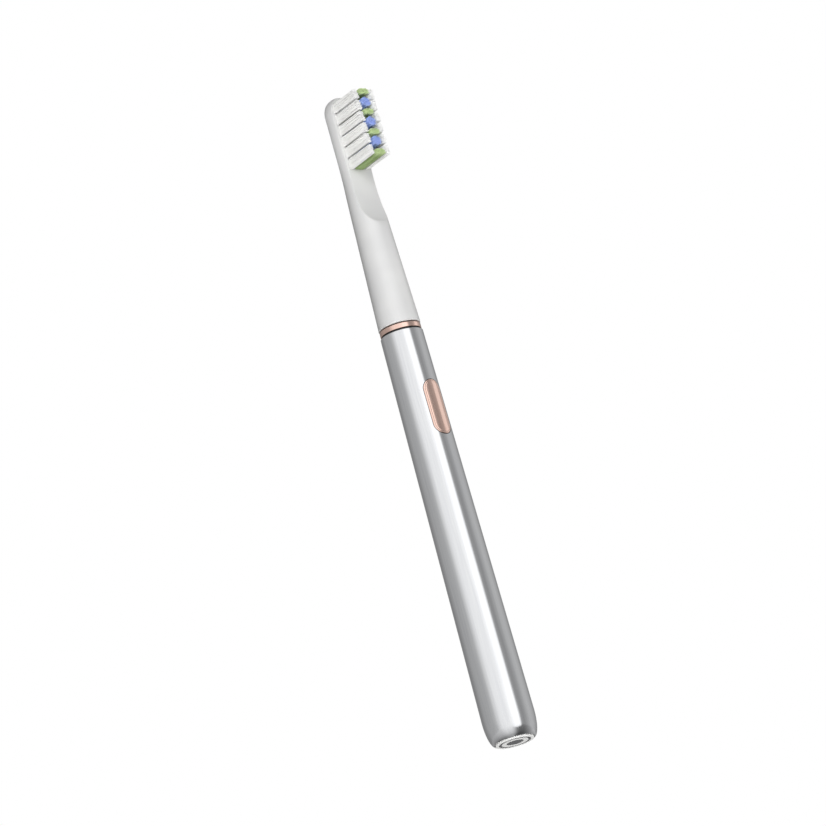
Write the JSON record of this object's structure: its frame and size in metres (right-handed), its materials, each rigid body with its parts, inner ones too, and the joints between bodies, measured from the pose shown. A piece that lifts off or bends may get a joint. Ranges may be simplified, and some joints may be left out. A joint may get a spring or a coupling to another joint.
{
  "type": "electric toothbrush",
  "caption": "Slim sonic toothbrush: tapered round metal handle with pill-shaped button, ring at the neck, contact end cap and pull-off brush head with coloured tufts.",
  "frame": {"origin": "centre of the end cap's flat lower face, which the handle stands on", "axes": "+Z along the handle towards the brush head's tip, -Y out of the button and along the bristles, +X to the side"},
  "size_m": [0.016, 0.0205, 0.2056],
  "materials": {
    "satin_aluminium": "satin, fine axial brushing",
    "rose_gold": "polished anodised",
    "white_plastic": "gloss",
    "head_plastic": "gloss",
    "dark_rubber": "matte",
    "contact_metal": "dark plated",
    "frame_plastic": "moulded",
    "steel": "ground",
    "copper": "enamelled winding",
    "magnet_nickel": "nickel plated",
    "nickel_strip": "nickel strip",
    "battery_wrap": "shrink-wrapped can",
    "board_green": "solder resist",
    "chip_black": "moulded epoxy",
    "wire_red": "extruded insulation",
    "wire_black": "extruded insulation",
    "bristle_white": "nylon filament",
    "bristle_green": "nylon filament",
    "bristle_blue": "nylon filament"
  },
  "bodies": {
    "handle": {"handle_tube": "satin_aluminium", "neck_ring": "rose_gold", "ring_gasket": "dark_rubber", "end_cap": "white_plastic", "cap_o_ring": "dark_rubber", "ring_contact": "contact_metal", "centre_contact": "contact_metal", "alignment_magnet": "magnet_nickel", "chassis": "frame_plastic", "battery_cell": "battery_wrap", "battery_tab_positive": "nickel_strip", "battery_tab_negative": "nickel_strip", "circuit_board": "board_green", "charge_chip": "chip_black", "power_inductor": "copper", "controller_chip": "chip_black", "switch_body": "chip_black", "button_seal": "dark_rubber", "motor_can": "steel", "motor_end_plate": "white_plastic", "motor_upper_bearing": "steel", "motor_lower_bearing": "steel", "motor_coil": "copper", "motor_damper": "dark_rubber", "motor_holder": "frame_plastic", "shaft_seal": "dark_rubber", "charge_lead_ring": "wire_black", "charge_lead_centre": "wire_red", "battery_lead_negative": "wire_black", "battery_lead_positive": "wire_red", "motor_lead_a": "wire_red", "motor_lead_b": "wire_black"},
    "button": {"button_cap": "rose_gold"},
    "plunger": {"switch_plunger": "white_plastic"},
    "drive": {"drive_shaft": "steel", "rotor_magnet": "magnet_nickel"},
    "brush_head": {"head_shell": "head_plastic", "shaft_insert": "white_plastic", "tuft_white_left_1": "bristle_white", "tuft_white_left_2": "bristle_white", "tuft_white_left_3": "bristle_white", "tuft_white_left_4": "bristle_white", "tuft_white_left_5": "bristle_white", "tuft_white_left_6": "bristle_white", "tuft_white_right_1": "bristle_white", "tuft_white_right_2": "bristle_white", "tuft_white_right_3": "bristle_white", "tuft_white_right_4": "bristle_white", "tuft_white_right_5": "bristle_white", "tuft_white_right_6": "bristle_white", "tuft_green_1": "bristle_green", "tuft_green_2": "bristle_green", "tuft_green_3": "bristle_green", "tuft_green_4": "bristle_green", "tuft_blue_1": "bristle_blue", "tuft_blue_2": "bristle_blue", "tuft_blue_3": "bristle_blue"}
  },
  "joints": [
    {"name": "button_press", "type": "slide", "parent": "handle", "child": "button", "axis": [0, 1, 0], "range_m": [0, 0.0003], "stiffness_N_per_m": 1500},
    {"name": "plunger_press", "type": "slide", "parent": "handle", "child": "plunger", "axis": [0, 1, 0], "range_m": [0, 0.0003]},
    {"name": "shaft_swing", "type": "hinge", "parent": "handle", "child": "drive", "pos_m": [0, 0, 0.1112], "axis": [0, 0, 1], "range_deg": [-5, 5], "stiffness_Nm_per_rad": 0.05},
    {"name": "head_pull", "type": "slide", "parent": "drive", "child": "brush_head", "axis": [0, 0, 1], "range_m": [0, 0.024]}
  ],
  "couplings": [
    {"joint": "plunger_press", "follows": "button_press", "ratio": 1}
  ]
}
